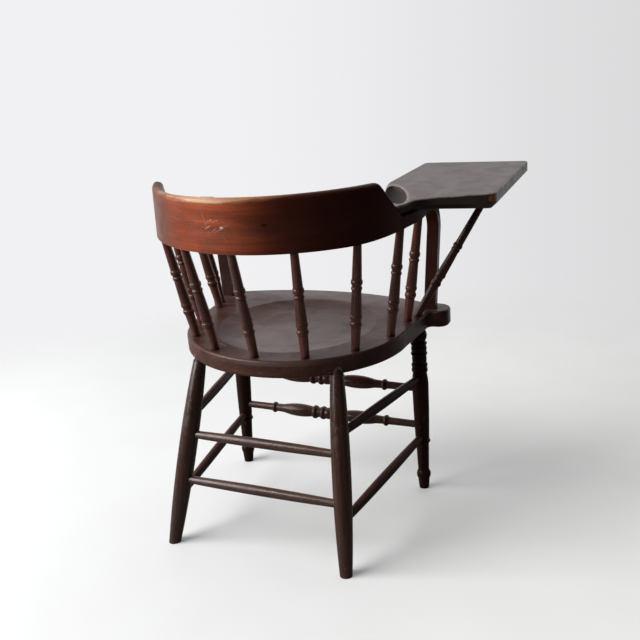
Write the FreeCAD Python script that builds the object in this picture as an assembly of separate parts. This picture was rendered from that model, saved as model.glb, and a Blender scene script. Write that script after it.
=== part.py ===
import FreeCAD, Part
import math
import os

Vector = FreeCAD.Vector
Rotation = FreeCAD.Rotation
Placement = FreeCAD.Placement
os.makedirs("parts", exist_ok=True)

# The chair faces -Y and the sitter's right hand is at -X. While it is built, x = 0 is its plane of
# symmetry, y = 0 lies a little behind the middle of the seat and z = 0 is the floor. Lengths are in mm.

# Seat plank
seat_height = 421.8          # top of the seat above the floor at y = 0
seat_tilt = 3.13             # degrees, the seat falls towards the back
seat_thickness = 36.0
seat_back_reach = 223.0      # y of the back edge
seat_half_width = 243.0      # where the curved back meets the sides
seat_shoulder_y = 5.0        # y where the curved back meets the sides
seat_waist_half = 254.0      # half width just behind the side lobes
seat_waist_reach = 120.0     # how far in front of y = 0 the lobes start
lobe_half_width = 291.0
lobe_front_reach = 178.0
seat_front_half = 225.0      # half width of the bowed front edge
seat_corner_reach = 181.0    # y of the ends of the bowed front edge, forwards
seat_front_reach = 220.0     # y of the middle of the bowed front edge, forwards
waist_round = 12.0
lobe_back_round = 22.0
lobe_front_round = 28.0
seat_top_round = 5.0
seat_bottom_round = 5.0
dish_half_width = 171.0
dish_half_depth = 167.0
dish_centre_y = 11.0
dish_sink = 9.0              # depth of the saddled hollow
dish_levels_shares = ((1.0, 0.0), (0.9, 0.55), (0.62, 1.0))

# Bent back rail with its arms and posts
rail_height = 639.2          # underside of the rail above the floor at y = 0
rail_tilt = 2.25             # degrees, the rail falls towards the back
rail_thickness = 25.3        # the same stock makes crest, arms and posts
rail_mid_radius = 265.0
rail_centre_y = -2.8
left_bow = 6.0               # the left half of the ring is this much wider
crest_depth = 105.0          # height of the deep board at its ends
crest_taper = 5.8            # how much thinner it is at its top
crest_wear = 7.5             # how far its top is worn down where it is lowest
crest_wear_shares = (
    (-1.0, 0.0), (-0.5, 0.12), (0.0, 0.45), (0.42, 0.8), (0.7, 0.9), (0.9, 0.2), (1.0, 0.0),
)
arm_level = 31.0             # top of the arm above the line of the rail's underside
arm_rise = 10.0              # the underside climbs by this much to the arm
rise_back_y = 190.0          # where it starts to climb
rise_front_y = 30.0          # where it has climbed
right_ear_top_y = 131.0      # where the crest starts to drop to the arm
left_ear_top_y = 117.0
ear_run = 55.7               # how far that slope runs forwards
ear_round = 3.0
arm_end_reach = 89.0         # how far in front of y = 0 the arm starts to bend down
arm_draw_in = 4.2            # each arm comes in by this much towards its front
arm_straight_reach = 70.0    # from here forwards the arms run parallel
arm_front_reach = 94.0       # the board seen from above ends here, inside the arms
post_thickness = 16.0
post_face_reach = 134.0      # y of the back face of the post, forwards
post_foot_inset = 40.5       # from the tip of the side lobe to the middle of the post
post_tenon = 14.0
crest_round = 8.5

# Spindles under the rail
spindle_radius = 12.0        # at its largest ring
spindle_foot_tenon_radius = 7.0
spindle_top_tenon_radius = 5.5
spindle_foot_tenon = 22.0
spindle_top_tenon = 15.0
back_spindle_inset = 19.0    # from the curved seat edge to the middle of a spindle
side_spindle_inset = 16.5
side_spindle_y = -56.0
side_spindle_top_y = -31.0
front_spindle_inset = 6.0
front_spindle_y = -88.0
front_spindle_top_y = -54.0
slim_spindle_share = 0.72    # the extra one at the left arm is this much as thick
back_foot_angles = (90.0, 63.7, 36.8, 9.1)
back_top_angles = (90.0, 64.3, 38.4, 14.4)

# Writing tablet and its brace. Its places are given sideways from the outer face of the arm.
tablet_thickness = 24.0      # over the arm
tablet_edge_thickness = 32.0     # at its outer side
tablet_inner_inset = 116.6
tablet_front_width = 240.0
tablet_rear_width = 252.5
tablet_front_reach = 412.0
tablet_front_skew = 22.0     # its outer front corner reaches this much further
tablet_rear_reach = 44.0     # y of its outer rear corner, forwards
tablet_rear_start = (38.4, -0.5)
taper_start = 12.4           # its underside falls away from here outwards
tablet_tail_y = 40.0         # from here back the tablet keeps to the width of the rail
tablet_inner_tail_y = 62.0
tablet_inner_bend = (-93.6, -61.0)
tablet_inner_straight_y = -150.0
tablet_corner_round = 12.0
tablet_rear_round = 22.0
tablet_top_round = 3.5
tablet_bevel = 10.5
hollow_centre = (-56.6, -20.0)
hollow_half_length = 98.0
hollow_half_width = 20.5
hollow_sink = 12.0
hollow_turn = 112.5          # degrees from the x axis
brace_radius = 10.6          # at its largest ring
brace_tenon_radius = 5.5
brace_tenon = 13.0
brace_top = (98.4, -98.0)
screw_places = (22.0, -72.0)
screw_shank_radius = 2.4
screw_head_radius = 4.6
screw_head_depth = 3.2
screw_point_radius = 0.6
screw_grip = 17.0            # length in the tablet

# Legs, whose places are given from the edges of the seat
leg_tenon_radius = 11.5
leg_tenon = 19.0
rear_leg_radius = 19.0       # at its swelling
rear_leg_side_inset = 89.5
rear_leg_back_inset = 62.0
rear_leg_splay = (41.7, 98.5)
front_leg_radius = 18.6      # at its largest bead
front_leg_side_inset = 30.0
front_leg_waist_gap = 13.0
front_leg_splay = (6.4, -2.5)
foot_sink = 14.0             # extra length that is cut level with the floor

# Stretchers
stretcher_radius = 8.2       # at its ends, which enter the legs
stretcher_belly = 10.2
front_stretcher_radius = 15.8
stretcher_tenon = 18.0       # straight length of each end
stretcher_setback = 3.0      # an end stops this far before the middle line of the leg
rear_upper_height = 224.8
rear_lower_height = 131.7
side_upper_heights = (262.7, 269.9)
side_lower_heights = (100.4, 128.3)
front_upper_height = 243.3
front_lower_height = 155.1

# Fits
socket_clearance = 0.15
socket_end_gap = 1.0
face_gap = 0.3
overrun = 30.0

# Turned shapes: (share of the length, share of the radius), or for a bead the place and radius of
# its crown followed by those of its end
spindle_shares = (
    (0.0, 0.683), (0.22, 0.817), (0.235, 0.867), (0.257, 1.0, 0.280, 0.85), (0.302, 0.85),
    (0.322, 1.0, 0.344, 0.917), (0.46, 0.85, 0.578, 0.767), (0.594, 0.9, 0.610, 0.75),
    (0.622, 0.75), (0.648, 0.95, 0.676, 0.8), (1.0, 0.65),
)
brace_shares = (
    (0.0, 0.774), (0.27, 0.811), (0.283, 0.83), (0.302, 1.0, 0.321, 0.83), (0.355, 0.83),
    (0.374, 1.0, 0.393, 0.887), (0.49, 0.84, 0.585, 0.755), (0.598, 0.868, 0.611, 0.755),
    (0.614, 0.755), (0.632, 0.943, 0.650, 0.774), (1.0, 0.642),
)
rear_leg_shares = ((0.0, 0.653), (0.30, 0.942, 0.58, 0.995), (0.80, 0.905, 1.0, 0.695))
front_leg_shares = (
    (0.0, 0.586), (0.045, 0.677), (0.062, 0.72), (0.085, 0.855, 0.112, 0.699), (0.118, 0.667),
    (0.288, 0.785), (0.297, 0.957, 0.306, 0.828), (0.47, 0.935, 0.62, 0.978), (0.67, 0.962, 0.712, 0.839),
    (0.718, 0.839), (0.737, 0.962, 0.750, 0.86), (0.763, 0.962, 0.778, 0.828), (0.80, 0.871, 0.822, 0.828),
    (0.830, 0.984, 0.840, 0.828), (0.863, 0.925, 0.882, 0.828), (0.889, 0.973, 0.899, 0.796),
    (0.905, 0.774), (0.938, 1.0, 0.973, 0.763), (1.0, 0.731),
)
front_stretcher_shares = (
    (0.0, 0.52), (0.125, 0.545), (0.142, 0.57), (0.155, 0.81, 0.168, 0.57), (0.215, 0.633),
    (0.322, 0.962, 0.393, 0.775), (0.399, 0.75), (0.4145, 1.0, 0.430, 0.75), (0.4485, 0.75),
    (0.464, 1.0, 0.4795, 0.79), (0.5, 0.87, 0.5205, 0.79), (0.536, 1.0, 0.5515, 0.75), (0.570, 0.75),
    (0.5855, 1.0, 0.601, 0.75), (0.607, 0.775), (0.678, 0.962, 0.785, 0.633), (0.832, 0.57),
    (0.845, 0.81, 0.858, 0.57), (0.875, 0.545), (1.0, 0.52),
)

seat_fall = math.tan(math.radians(seat_tilt))
rail_fall = math.tan(math.radians(rail_tilt))
rail_outer = rail_mid_radius + rail_thickness / 2
rail_inner = rail_mid_radius - rail_thickness / 2
arm_front_outer = rail_outer - arm_draw_in
arm_depth = arm_level - arm_rise
tablet_taper_run = tablet_rear_width - tablet_inner_inset - taper_start
tablet_fall = (tablet_edge_thickness - tablet_thickness) / tablet_taper_run
bend_radius = post_face_reach - arm_end_reach


def seat_top(y):
    return seat_height - seat_fall * y


def seat_bottom(y):
    return seat_top(y) - seat_thickness / math.cos(math.radians(seat_tilt))


def rail_bottom(y):
    """The line of the underside at the back of the rail, carried on to the front."""
    return rail_height - rail_fall * y


def eased(share):
    """A smooth climb from 0 to 1."""
    share = min(max(share, 0), 1)
    return share ** 2 * (3 - 2 * share)


def rail_under(y):
    """The real underside, which climbs to the arms."""
    return rail_bottom(y) + arm_rise * eased((rise_back_y - y) / (rise_back_y - rise_front_y))


def post_head():
    """Where the posts go over into the bent ends of the arms."""
    return rail_under(-arm_end_reach) - bend_radius


def arm_top(y):
    return rail_bottom(y) + arm_level


def crest_top(y):
    return rail_bottom(y) + crest_depth


def slab(lower, upper):
    """The space between two levels that rise or fall from front to back, over the whole chair."""
    front = -2 * tablet_front_reach
    back = 2 * rail_outer
    half = 2 * rail_outer
    outline = [Vector(-half, front, lower(front)), Vector(-half, back, lower(back)),
               Vector(-half, back, upper(back)), Vector(-half, front, upper(front))]
    face = Part.Face(Part.makePolygon(outline + outline[:1]))
    return face.extrude(Vector(2 * half, 0, 0))


def turned(profile):
    """A solid turned about Z. Each entry is (z, radius), or (z, radius, z, radius) for a bead."""
    start = profile[0][0]
    here = Vector(profile[0][1], 0, start)
    edges = [Part.makeLine(Vector(0, 0, start), here)]
    for entry in profile[1:]:
        end = Vector(entry[-1], 0, entry[-2])
        if len(entry) == 2:
            edges.append(Part.makeLine(here, end))
        else:
            crown = Vector(entry[1], 0, entry[0])
            edges.append(Part.Arc(here, crown, end).toShape())
        here = end
    edges.append(Part.makeLine(here, Vector(0, 0, here.z)))
    edges.append(Part.makeLine(Vector(0, 0, here.z), Vector(0, 0, start)))
    return Part.Face(Part.Wire(edges)).revolve(Vector(0, 0, 0), Vector(0, 0, 1), 360)


def sized(shares, length, radius, start=0.0):
    """Turn a table of shares into real places and radii along a turning."""
    rows = []
    for entry in shares:
        row = []
        for place, reach in zip(entry[::2], entry[1::2]):
            row += [start + place * length, reach * radius]
        rows.append(tuple(row))
    return rows


def lengthened(profile, low, high):
    """Carry the two ends of a turning on, so that a sloping face can be cut there."""
    first = (profile[0][0] - low, profile[0][1])
    last = (profile[-1][-2] + high, profile[-1][-1])
    return [first] + profile + [last]


def stand(shape, foot, tip):
    """Move a turning from the Z axis so that it starts at foot and runs towards tip."""
    placed = shape.copy()
    placed.Placement = Placement(foot, Rotation(Vector(0, 0, 1), tip - foot))
    return placed


def peg(foot, tip, radius, start, end):
    """A round peg on the line from foot to tip, between two distances from foot."""
    direction = (tip - foot).normalize()
    return Part.makeCylinder(radius, end - start, foot + direction * start, direction)


def mirrored(shape):
    return shape.mirror(Vector(0, 0, 0), Vector(1, 0, 0))


def across(point):
    return Vector(-point.x, point.y, point.z)


def upright_edges(shape, places):
    """The upright edges of a flat board that stand at the given (x, y) places."""
    found = []
    for edge in shape.Edges:
        first = edge.Vertexes[0].Point
        last = edge.Vertexes[-1].Point
        if math.hypot(first.x - last.x, first.y - last.y) > socket_clearance:
            continue
        if any(math.hypot(first.x - x, first.y - y) < socket_clearance for x, y in places):
            found.append(edge)
    return found


def rim_edges(shape, z):
    """The edges of a flat board that lie at the level z."""
    found = []
    for edge in shape.Edges:
        box = edge.BoundBox
        if max(abs(box.ZMin - z), abs(box.ZMax - z)) < socket_clearance:
            found.append(edge)
    return found


def both_sides(places):
    return list(places) + [(-x, y) for x, y in places]


def line_chain(points):
    return [Part.makeLine(a, b) for a, b in zip(points, points[1:])]


def eased_edge(start, run, sway):
    """An edge that goes on along run and on its way moves off smoothly by sway."""
    curve = Part.BezierCurve()
    curve.setPoles([start, start + run / 3, start + run * 2 / 3 + sway, start + run + sway])
    return curve.toShape()


def oval(centre, half_width, half_depth):
    """A level ellipse, and the angle in it at which its +X end lies."""
    if half_width >= half_depth:
        return Part.Ellipse(centre, half_width, half_depth), 0
    far = centre + Vector(0, half_depth, 0)
    side = centre - Vector(half_width, 0, 0)
    return Part.Ellipse(far, side, centre), -math.pi / 2


# The seat is cut flat from one plank, rounded, saddled and then tipped back
def seat_blank():
    waist = (seat_waist_half, -seat_waist_reach)
    lobe_back = (lobe_half_width, -seat_waist_reach)
    lobe_front = (lobe_half_width, -lobe_front_reach)
    front_end = (seat_front_half, -seat_corner_reach)
    shoulder = (seat_half_width, seat_shoulder_y)
    side = [Vector(x, y, 0) for x, y in (shoulder, waist, lobe_back, lobe_front, front_end)]
    other = [across(point) for point in side]
    curve, start = oval(Vector(0, seat_shoulder_y, 0), seat_half_width, seat_back_reach - seat_shoulder_y)
    edges = [Part.ArcOfEllipse(curve, start, start + math.pi).toShape()]
    edges += line_chain(other)
    edges.append(Part.Arc(other[-1], Vector(0, -seat_front_reach, 0), side[-1]).toShape())
    edges += line_chain(side[::-1])
    blank = Part.Face(Part.Wire(edges)).extrude(Vector(0, 0, -seat_thickness))
    blank = blank.makeFillet(waist_round, upright_edges(blank, both_sides([waist])))
    blank = blank.makeFillet(lobe_back_round, upright_edges(blank, both_sides([lobe_back])))
    blank = blank.makeFillet(lobe_front_round, upright_edges(blank, both_sides([lobe_front])))
    blank = blank.makeFillet(seat_top_round, rim_edges(blank, 0))
    return blank.makeFillet(seat_bottom_round, rim_edges(blank, -seat_thickness))


def seat_dish():
    """The saddled hollow: ovals that shrink as they go down into the plank."""
    ovals = []
    for reach, sink in dish_levels_shares:
        centre = Vector(0, dish_centre_y, -sink * dish_sink)
        curve = oval(centre, dish_half_width * reach, dish_half_depth * reach)[0]
        ovals.append(Part.Wire(curve.toShape()))
    bowl = Part.makeLoft(ovals, True, False)
    lid = Part.Face(ovals[0]).extrude(Vector(0, 0, overrun))
    return bowl.fuse(lid)


def tip_seat(shape):
    placed = shape.copy()
    placed.rotate(Vector(0, 0, 0), Vector(1, 0, 0), -seat_tilt)
    placed.translate(Vector(0, 0, seat_height))
    return placed


# The back rail: a deep board bent round the back, cut down to arms that bend again into posts
def tip_rail(shape, height):
    placed = shape.copy()
    placed.rotate(Vector(0, 0, 0), Vector(1, 0, 0), -rail_tilt)
    placed.translate(Vector(0, 0, height))
    return placed


def half_ring(radius):
    """The back of the ring seen from above: a quarter circle on each side, the left one wider."""
    up = Vector(0, 0, 1)
    left = Part.Circle(Vector(0, rail_centre_y - left_bow, 0), up, radius + left_bow)
    right = Part.Circle(Vector(0, rail_centre_y, 0), up, radius)
    return [Part.ArcOfCircle(left, 0, math.pi / 2).toShape(),
            Part.ArcOfCircle(right, math.pi / 2, math.pi).toShape()]


def arm_side(radius, bow, side, end):
    """One face of an arm seen from above: it eases in from the ring and then runs straight."""
    first = Vector(side * (radius + bow), rail_centre_y - bow, 0)
    run = Vector(0, -arm_straight_reach - first.y, 0)
    sway = Vector(side * end - first.x, 0, 0)
    straight = first + run + sway
    return [eased_edge(first, run, sway),
            Part.makeLine(straight, Vector(straight.x, -arm_front_reach, 0))]


def rail_plan():
    """The board seen from above, stood up as a wall, with the arms drawn in towards the front."""
    front_inner = arm_front_outer - rail_thickness
    edges = half_ring(rail_outer) + half_ring(rail_inner)
    for side, bow in ((1, left_bow), (-1, 0)):
        edges += arm_side(rail_outer, bow, side, arm_front_outer)
        edges += arm_side(rail_inner, bow, side, front_inner)
        edges.append(Part.makeLine(Vector(side * arm_front_outer, -arm_front_reach, 0),
                                   Vector(side * front_inner, -arm_front_reach, 0)))
    outline = Part.Wire(Part.sortEdges(edges)[0])
    return Part.Face(outline).extrude(Vector(0, 0, 2 * rail_height))


def under_rail(front):
    """The underside of the rail in the middle plane, from behind the chair to the y given."""
    back = 2 * rail_outer
    start = Vector(0, rise_back_y, rail_bottom(rise_back_y))
    run = Vector(0, rise_front_y, rail_bottom(rise_front_y)) - start
    end = Vector(0, rise_front_y, rail_under(rise_front_y))
    return [Part.makeLine(Vector(0, back, rail_bottom(back)), start),
            eased_edge(start, run, Vector(0, 0, arm_rise)),
            Part.makeLine(end, Vector(0, front, rail_under(front)))]


def spindle_space():
    """Everything between the seat and the underside of the rail."""
    front = -arm_end_reach
    back = 2 * rail_outer
    edges = under_rail(front)
    edges += line_chain([Vector(0, front, rail_under(front)), Vector(0, front, seat_top(front)),
                         Vector(0, back, seat_top(back)), Vector(0, back, rail_bottom(back))])
    face = Part.Face(Part.Wire(edges))
    face.translate(Vector(-2 * rail_outer, 0, 0))
    return face.extrude(Vector(4 * rail_outer, 0, 0))


def rail_side(ear_top_y):
    """Crest, arm and post seen from the side, for the half of the chair that has its ear there."""
    reach = 2 * rail_outer
    foot = seat_top(-post_face_reach) - post_tenon
    bend_end = post_head()
    post_front = -(post_face_reach + post_thickness)
    arm_end = -arm_end_reach
    half_turn = math.radians(45)
    under_bend = Vector(0, arm_end - bend_radius * math.sin(half_turn),
                        bend_end + bend_radius * math.cos(half_turn))
    over_bend = Vector(0, arm_end - (arm_end - post_front) * math.sin(half_turn),
                       bend_end + (arm_top(arm_end) - bend_end) * math.cos(half_turn))
    under_arm = Vector(0, arm_end, rail_under(arm_end))
    over_arm = Vector(0, arm_end, arm_top(arm_end))
    post_back = Vector(0, -post_face_reach, bend_end)
    post_nose = Vector(0, post_front, bend_end)
    ear_foot = Vector(0, ear_top_y - ear_run, arm_top(ear_top_y - ear_run))
    ear_top = Vector(0, ear_top_y, crest_top(ear_top_y))
    slope_end = ear_top + (ear_top - ear_foot)
    edges = line_chain([Vector(0, reach, slope_end.z), Vector(0, reach, rail_bottom(reach))])
    edges += under_rail(arm_end)
    edges.append(Part.Arc(under_arm, under_bend, post_back).toShape())
    edges += line_chain([post_back, Vector(0, -post_face_reach, foot),
                         Vector(0, post_front, foot), post_nose])
    edges.append(Part.Arc(post_nose, over_bend, over_arm).toShape())
    edges += line_chain([over_arm, ear_foot, slope_end, Vector(0, reach, slope_end.z)])
    return Part.Face(Part.Wire(edges)).extrude(Vector(reach, 0, 0))


def crown():
    """Everything below the worn top of the crest, seen from the front."""
    half = rail_outer + left_bow
    points = []
    for side, sink in crest_wear_shares:
        points.append(Vector(side * half, -overrun, crest_depth - sink * crest_wear))
    top = Part.BSplineCurve()
    top.interpolate(points)
    first = points[0]
    last = points[-1]
    corners = [last, Vector(last.x, last.y, -rail_height), Vector(first.x, first.y, -rail_height), first]
    edges = [top.toShape()] + line_chain(corners)
    wall = Part.Face(Part.Wire(edges)).extrude(Vector(0, 2 * rail_outer, 0))
    return tip_rail(wall, rail_height)


def ring_space():
    """The space inside the ring, which widens upwards so that the crest thins towards its top."""
    start = arm_top(right_ear_top_y - ear_run) - ear_round
    slope = crest_taper / (crest_top(right_ear_top_y) - start)
    outlines = []
    for level in (rail_height, 2 * crest_top(0) - start):
        radius = rail_inner + slope * (level - start)
        edges = half_ring(radius)
        edges.append(Part.makeLine(Vector(-radius, rail_centre_y, 0),
                                   Vector(radius + left_bow, rail_centre_y - left_bow, 0)))
        outline = Part.Wire(edges)
        outline.translate(Vector(0, 0, level))
        outlines.append(outline)
    return Part.makeLoft(outlines, True, True)


def post_band():
    """The space in which the left arm's bent end and its post stand, seen from the front."""
    bend_end = post_head()
    foot = seat_top(-post_face_reach)
    foot_middle = lobe_half_width - post_foot_inset
    lean = (arm_front_outer - rail_thickness / 2 - foot_middle) / (bend_end - foot)
    low_middle = foot_middle - overrun * lean
    outline = [
        (arm_front_outer, 2 * rail_height), (arm_front_outer, bend_end),
        (low_middle + rail_thickness / 2, foot - overrun), (low_middle - rail_thickness / 2, foot - overrun),
        (arm_front_outer - rail_thickness, bend_end), (arm_front_outer - rail_thickness, 2 * rail_height),
    ]
    corners = [Vector(x, -(arm_straight_reach + arm_front_reach) / 2, z) for x, z in outline]
    face = Part.Face(Part.makePolygon(corners + corners[:1]))
    return face.extrude(Vector(0, -post_face_reach, 0))


def back_rail_blank():
    left = rail_side(left_ear_top_y)
    right = mirrored(rail_side(right_ear_top_y))
    side = left.fuse(right)
    back_space = Part.makeBox(4 * rail_outer, 2 * rail_outer, 2 * rail_height, Vector(-2 * rail_outer, 0, 0))
    front_board = rail_plan().common(side).cut(back_space)
    crest = rail_plan().common(side).common(back_space).common(crown()).cut(ring_space())
    posts = [left.common(post_band()), right.common(mirrored(post_band()))]
    return crest.fuse([front_board] + posts).removeSplitter()


def round_rail(rail):
    """Ease the crest like a hand hold, then the ears and their slopes."""
    long_rims = [edge for edge in rail.Edges
                 if edge.Length > crest_depth and edge.BoundBox.ZMin > crest_top(0) - 2 * crest_round]
    rail = rail.makeFillet(crest_round, long_rims)
    above_arms = arm_top(right_ear_top_y) + arm_depth
    ears = [edge for edge in rail.Edges
            if edge.BoundBox.ZMax > above_arms and edge.BoundBox.YMax < right_ear_top_y + socket_clearance]
    return rail.makeFillet(ear_round, ears)


def side_spindle_top(y, bow):
    """The middle of the arm's underside, on the side where the ring is wider by bow."""
    start = rail_centre_y - bow
    drawn_in = (arm_draw_in + bow) * eased((start - y) / (start + arm_straight_reach))
    return Vector(rail_mid_radius + bow - drawn_in, y, rail_under(y))


def seat_point(x, y):
    return Vector(x, y, seat_top(y))


def spindle_lines():
    """Foot and tip of every spindle: the centre one, then the pairs from the back to the arms."""
    foot_a = seat_half_width - back_spindle_inset
    foot_b = seat_back_reach - seat_shoulder_y - back_spindle_inset
    feet = []
    tips = {left_bow: [], 0: []}
    for foot_angle, top_angle in zip(back_foot_angles, back_top_angles):
        foot_turn = math.radians(foot_angle)
        top_turn = math.radians(top_angle)
        feet.append(seat_point(foot_a * math.cos(foot_turn), seat_shoulder_y + foot_b * math.sin(foot_turn)))
        top_y = rail_centre_y + rail_mid_radius * math.sin(top_turn)
        for bow, places in tips.items():
            square = (rail_mid_radius + bow) ** 2 - (top_y - rail_centre_y + bow) ** 2
            places.append(Vector(math.sqrt(max(square, 0)), top_y, rail_under(top_y)))
    feet.append(seat_point(seat_half_width - side_spindle_inset, side_spindle_y))
    for bow, places in tips.items():
        places.append(side_spindle_top(side_spindle_top_y, bow))
    lines = {"spindle_centre": (feet[0], tips[0][0])}
    for number in range(1, len(feet)):
        lines["spindle_left_%d" % number] = (feet[number], tips[left_bow][number])
        lines["spindle_right_%d" % number] = (across(feet[number]), across(tips[0][number]))
    foot = seat_point(seat_half_width - front_spindle_inset, front_spindle_y)
    lines["spindle_left_front"] = (foot, side_spindle_top(front_spindle_top_y, left_bow))
    return lines


def make_spindle(line, thickness, gap):
    """A spindle whose shoulders follow the seat and the rail, with a round tenon at each end."""
    foot, tip = line
    length = (tip - foot).Length
    radius = spindle_radius * thickness
    profile = lengthened(sized(spindle_shares, length, radius), radius, radius)
    body = stand(turned(profile), foot, tip).common(gap)
    low = peg(foot, tip, spindle_foot_tenon_radius * thickness, -spindle_foot_tenon, radius)
    high = peg(foot, tip, spindle_top_tenon_radius * thickness, length - radius, length + spindle_top_tenon)
    return body.fuse([low, high]).removeSplitter()


def spindle_sockets(line, thickness):
    foot, tip = line
    length = (tip - foot).Length
    low = peg(foot, tip, spindle_foot_tenon_radius * thickness + socket_clearance,
              -spindle_foot_tenon - socket_end_gap, overrun)
    high = peg(foot, tip, spindle_top_tenon_radius * thickness + socket_clearance,
               length - overrun, length + spindle_top_tenon + socket_end_gap)
    return low, high


# The writing tablet lies on the right arm and is cut to the slope of the right ear
def beside_arm(place):
    """A place given as the distance out from the outer face of the right arm, and y."""
    return Vector(-(rail_outer + place[0]), place[1], 0)


def on_ring(radius, y):
    return Vector(-math.sqrt(radius ** 2 - (y - rail_centre_y) ** 2), y, 0)


def ring_arc(radius, start_y, end_y):
    return Part.Arc(on_ring(radius, start_y), on_ring(radius, (start_y + end_y) / 2),
                    on_ring(radius, end_y)).toShape()


def neck_curve(rear_outer, rear_inner, end):
    """It leaves the rear edge without a kink and meets the ring without one."""
    hold = (end - rear_inner).Length / 3
    leave = (rear_inner - rear_outer).normalize() * hold
    radial = end - Vector(0, rail_centre_y, 0)
    arrive = Vector(radial.y, -radial.x, 0).normalize() * hold
    curve = Part.BezierCurve()
    curve.setPoles([rear_inner, rear_inner + leave, end - arrive, end])
    return curve.toShape()


def tablet_outline(front_inner, front_outer, rear_outer):
    rear_inner = beside_arm(tablet_rear_start)
    inner_straight = beside_arm((-tablet_inner_inset, tablet_inner_straight_y))
    tail_y = right_ear_top_y
    return [
        Part.makeLine(front_inner, front_outer),
        Part.makeLine(front_outer, rear_outer),
        Part.makeLine(rear_outer, rear_inner),
        neck_curve(rear_outer, rear_inner, on_ring(rail_outer, tablet_tail_y)),
        ring_arc(rail_outer, tablet_tail_y, tail_y),
        Part.makeLine(on_ring(rail_outer, tail_y), on_ring(rail_inner, tail_y)),
        ring_arc(rail_inner, tail_y, tablet_inner_tail_y),
        Part.Arc(on_ring(rail_inner, tablet_inner_tail_y), beside_arm(tablet_inner_bend),
                 inner_straight).toShape(),
        Part.makeLine(inner_straight, front_inner),
    ]


def ear_space():
    """Everything behind the slope of the right ear, and a small gap in front of it."""
    foot_y = right_ear_top_y - ear_run
    slope = (crest_top(right_ear_top_y) - arm_top(foot_y)) / ear_run
    points = [Vector(0, foot_y - face_gap, arm_top(foot_y)),
              Vector(0, right_ear_top_y - face_gap, arm_top(foot_y) + slope * ear_run),
              Vector(0, 2 * rail_outer, arm_top(foot_y) + slope * ear_run),
              Vector(0, 2 * rail_outer, rail_bottom(foot_y)),
              Vector(0, foot_y - face_gap, rail_bottom(foot_y))]
    return Part.Face(Part.makePolygon(points + points[:1])).extrude(Vector(-2 * rail_outer, 0, 0))


def under_tablet():
    """Everything below the tablet while it lies flat: its underside falls away beyond the arm."""
    start = beside_arm((taper_start, 0)).x
    far = start - 2 * tablet_taper_run
    outline = [(0, 0), (start, 0), (far, tablet_fall * (far - start)), (far, -rail_height), (0, -rail_height)]
    corners = [Vector(x, rail_outer, z) for x, z in outline]
    face = Part.Face(Part.makePolygon(corners + corners[:1]))
    return face.extrude(Vector(0, -rail_outer - 2 * tablet_front_reach, 0))


def tablet_blank():
    front_inner = beside_arm((-tablet_inner_inset, -tablet_front_reach))
    front_outer = front_inner + Vector(-tablet_front_width, -tablet_front_skew, 0)
    rear_outer = beside_arm((tablet_rear_width - tablet_inner_inset, -tablet_rear_reach))
    board = Part.Face(Part.Wire(tablet_outline(front_inner, front_outer, rear_outer)))
    board = board.extrude(Vector(0, 0, tablet_edge_thickness))
    board.translate(Vector(0, 0, tablet_thickness - tablet_edge_thickness))
    corners = [(front_inner.x, front_inner.y), (front_outer.x, front_outer.y)]
    board = board.makeFillet(tablet_corner_round, upright_edges(board, corners))
    board = board.makeFillet(tablet_rear_round, upright_edges(board, [(rear_outer.x, rear_outer.y)]))
    board = board.cut(under_tablet())
    outside = beside_arm(tablet_rear_start).x
    bevelled = [edge for edge in board.Edges
                if edge.BoundBox.ZMax < face_gap and edge.CenterOfMass.x < outside
                and edge.CenterOfMass.y > front_inner.y]
    board = board.makeChamfer(tablet_bevel, bevelled)
    behind_slope = ear_space()
    behind_slope.translate(Vector(0, 0, -arm_top(0)))
    behind_slope.rotate(Vector(0, 0, 0), Vector(1, 0, 0), rail_tilt)
    board = board.cut(behind_slope)
    rim = [edge for edge in rim_edges(board, tablet_thickness)
           if edge.BoundBox.YMin < tablet_inner_tail_y + tablet_top_round]
    board = board.makeFillet(tablet_top_round, rim)
    stretch = FreeCAD.Matrix()
    stretch.scale(hollow_half_length, hollow_half_width, hollow_sink)
    hollow = Part.makeSphere(1.0).transformGeometry(stretch)
    hollow.rotate(Vector(0, 0, 0), Vector(0, 0, 1), hollow_turn)
    hollow.translate(beside_arm(hollow_centre) + Vector(0, 0, tablet_thickness))
    return tip_rail(board.cut(hollow), arm_top(0))


def screw_rows(depth_extra, radius_extra, head_start):
    """Half profile of a countersunk wood screw or of its hole, from the head upwards."""
    length = arm_depth + screw_grip
    return [(head_start, screw_head_radius + radius_extra),
            (face_gap, screw_head_radius + radius_extra),
            (screw_head_depth, screw_shank_radius + radius_extra),
            (length - screw_head_depth, screw_shank_radius + radius_extra),
            (length + depth_extra, screw_point_radius + radius_extra)]


def screw_line(y):
    foot = across(side_spindle_top(y, 0))
    if y > rail_centre_y:
        foot.x = on_ring(rail_mid_radius, y).x
    return foot, foot + Vector(0, rail_fall, 1)


def make_screw(y):
    rows = screw_rows(0, 0, face_gap)
    return stand(turned(rows[1:]), *screw_line(y))


def screw_hole(y):
    return stand(turned(screw_rows(socket_end_gap, socket_clearance, -overrun)), *screw_line(y))


# The brace props the tablet from a hole beside the right spindles
def brace_line():
    foot = seat_point(-(seat_half_width - front_spindle_inset), front_spindle_y)
    tip = beside_arm(brace_top)
    tip.z = arm_top(tip.y) - tablet_fall * (brace_top[0] - taper_start)
    return foot, tip


def make_brace():
    foot, tip = brace_line()
    length = (tip - foot).Length
    profile = lengthened(sized(brace_shares, length, brace_radius), brace_radius, brace_radius)
    below = tip_rail(under_tablet(), arm_top(0))
    body = stand(turned(profile), foot, tip).common(slab(seat_top, arm_top)).common(below)
    low = peg(foot, tip, spindle_foot_tenon_radius, -spindle_foot_tenon, brace_radius)
    high = peg(foot, tip, brace_tenon_radius, length - overrun, length + brace_tenon)
    return body.fuse([low, high]).removeSplitter()


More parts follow.
